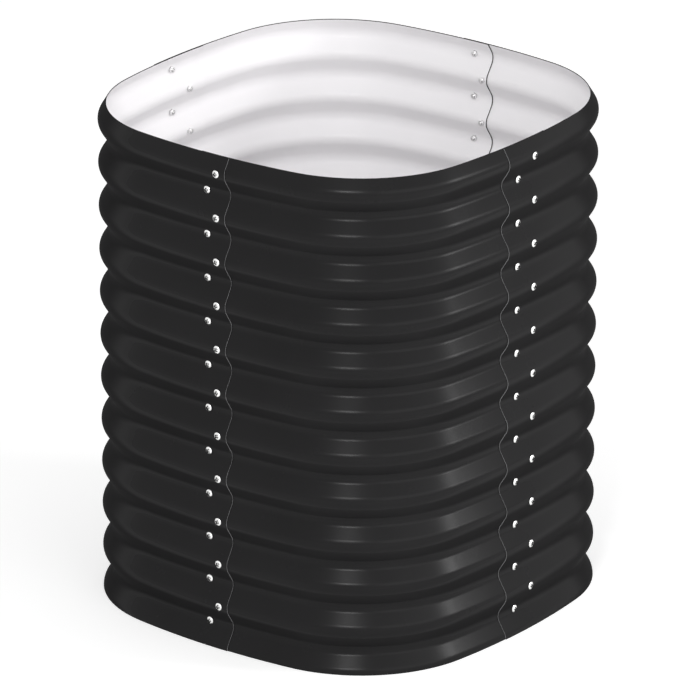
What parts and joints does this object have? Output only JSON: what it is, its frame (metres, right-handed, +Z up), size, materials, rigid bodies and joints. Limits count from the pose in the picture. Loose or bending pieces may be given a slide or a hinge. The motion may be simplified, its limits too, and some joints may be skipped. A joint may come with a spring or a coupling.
{
  "type": "raised garden bed",
  "caption": "Tall rounded-square raised garden bed of corrugated sheet metal, open at top and bottom, with lapped corner panels screwed together in the middle of each side.",
  "frame": {"origin": "centre of the footprint, on the ground plane that the bottom edge rests on", "axes": "+Z up through the open top; X and Y square to the four sides, so each seam crosses an axis; the corner between +X and -Y faces the picture's viewer"},
  "size_m": [0.6145, 0.6145, 0.71],
  "materials": {
    "panel": "satin charcoal coating outside, white coating inside",
    "screw": "bright zinc plated",
    "nut": "bright zinc plated"
  },
  "bodies": {
    "root": {"corner_panel_front_right": "panel", "corner_panel_back_right": "panel", "corner_panel_back_left": "panel", "corner_panel_front_left": "panel", "front_seam_crest_screws": "screw", "front_seam_crest_nuts": "nut", "front_seam_valley_screws": "screw", "front_seam_valley_nuts": "nut", "right_seam_crest_screws": "screw", "right_seam_crest_nuts": "nut", "right_seam_valley_screws": "screw", "right_seam_valley_nuts": "nut", "back_seam_crest_screws": "screw", "back_seam_crest_nuts": "nut", "back_seam_valley_screws": "screw", "back_seam_valley_nuts": "nut", "left_seam_crest_screws": "screw", "left_seam_crest_nuts": "nut", "left_seam_valley_screws": "screw", "left_seam_valley_nuts": "nut"}
  },
  "joints": []
}
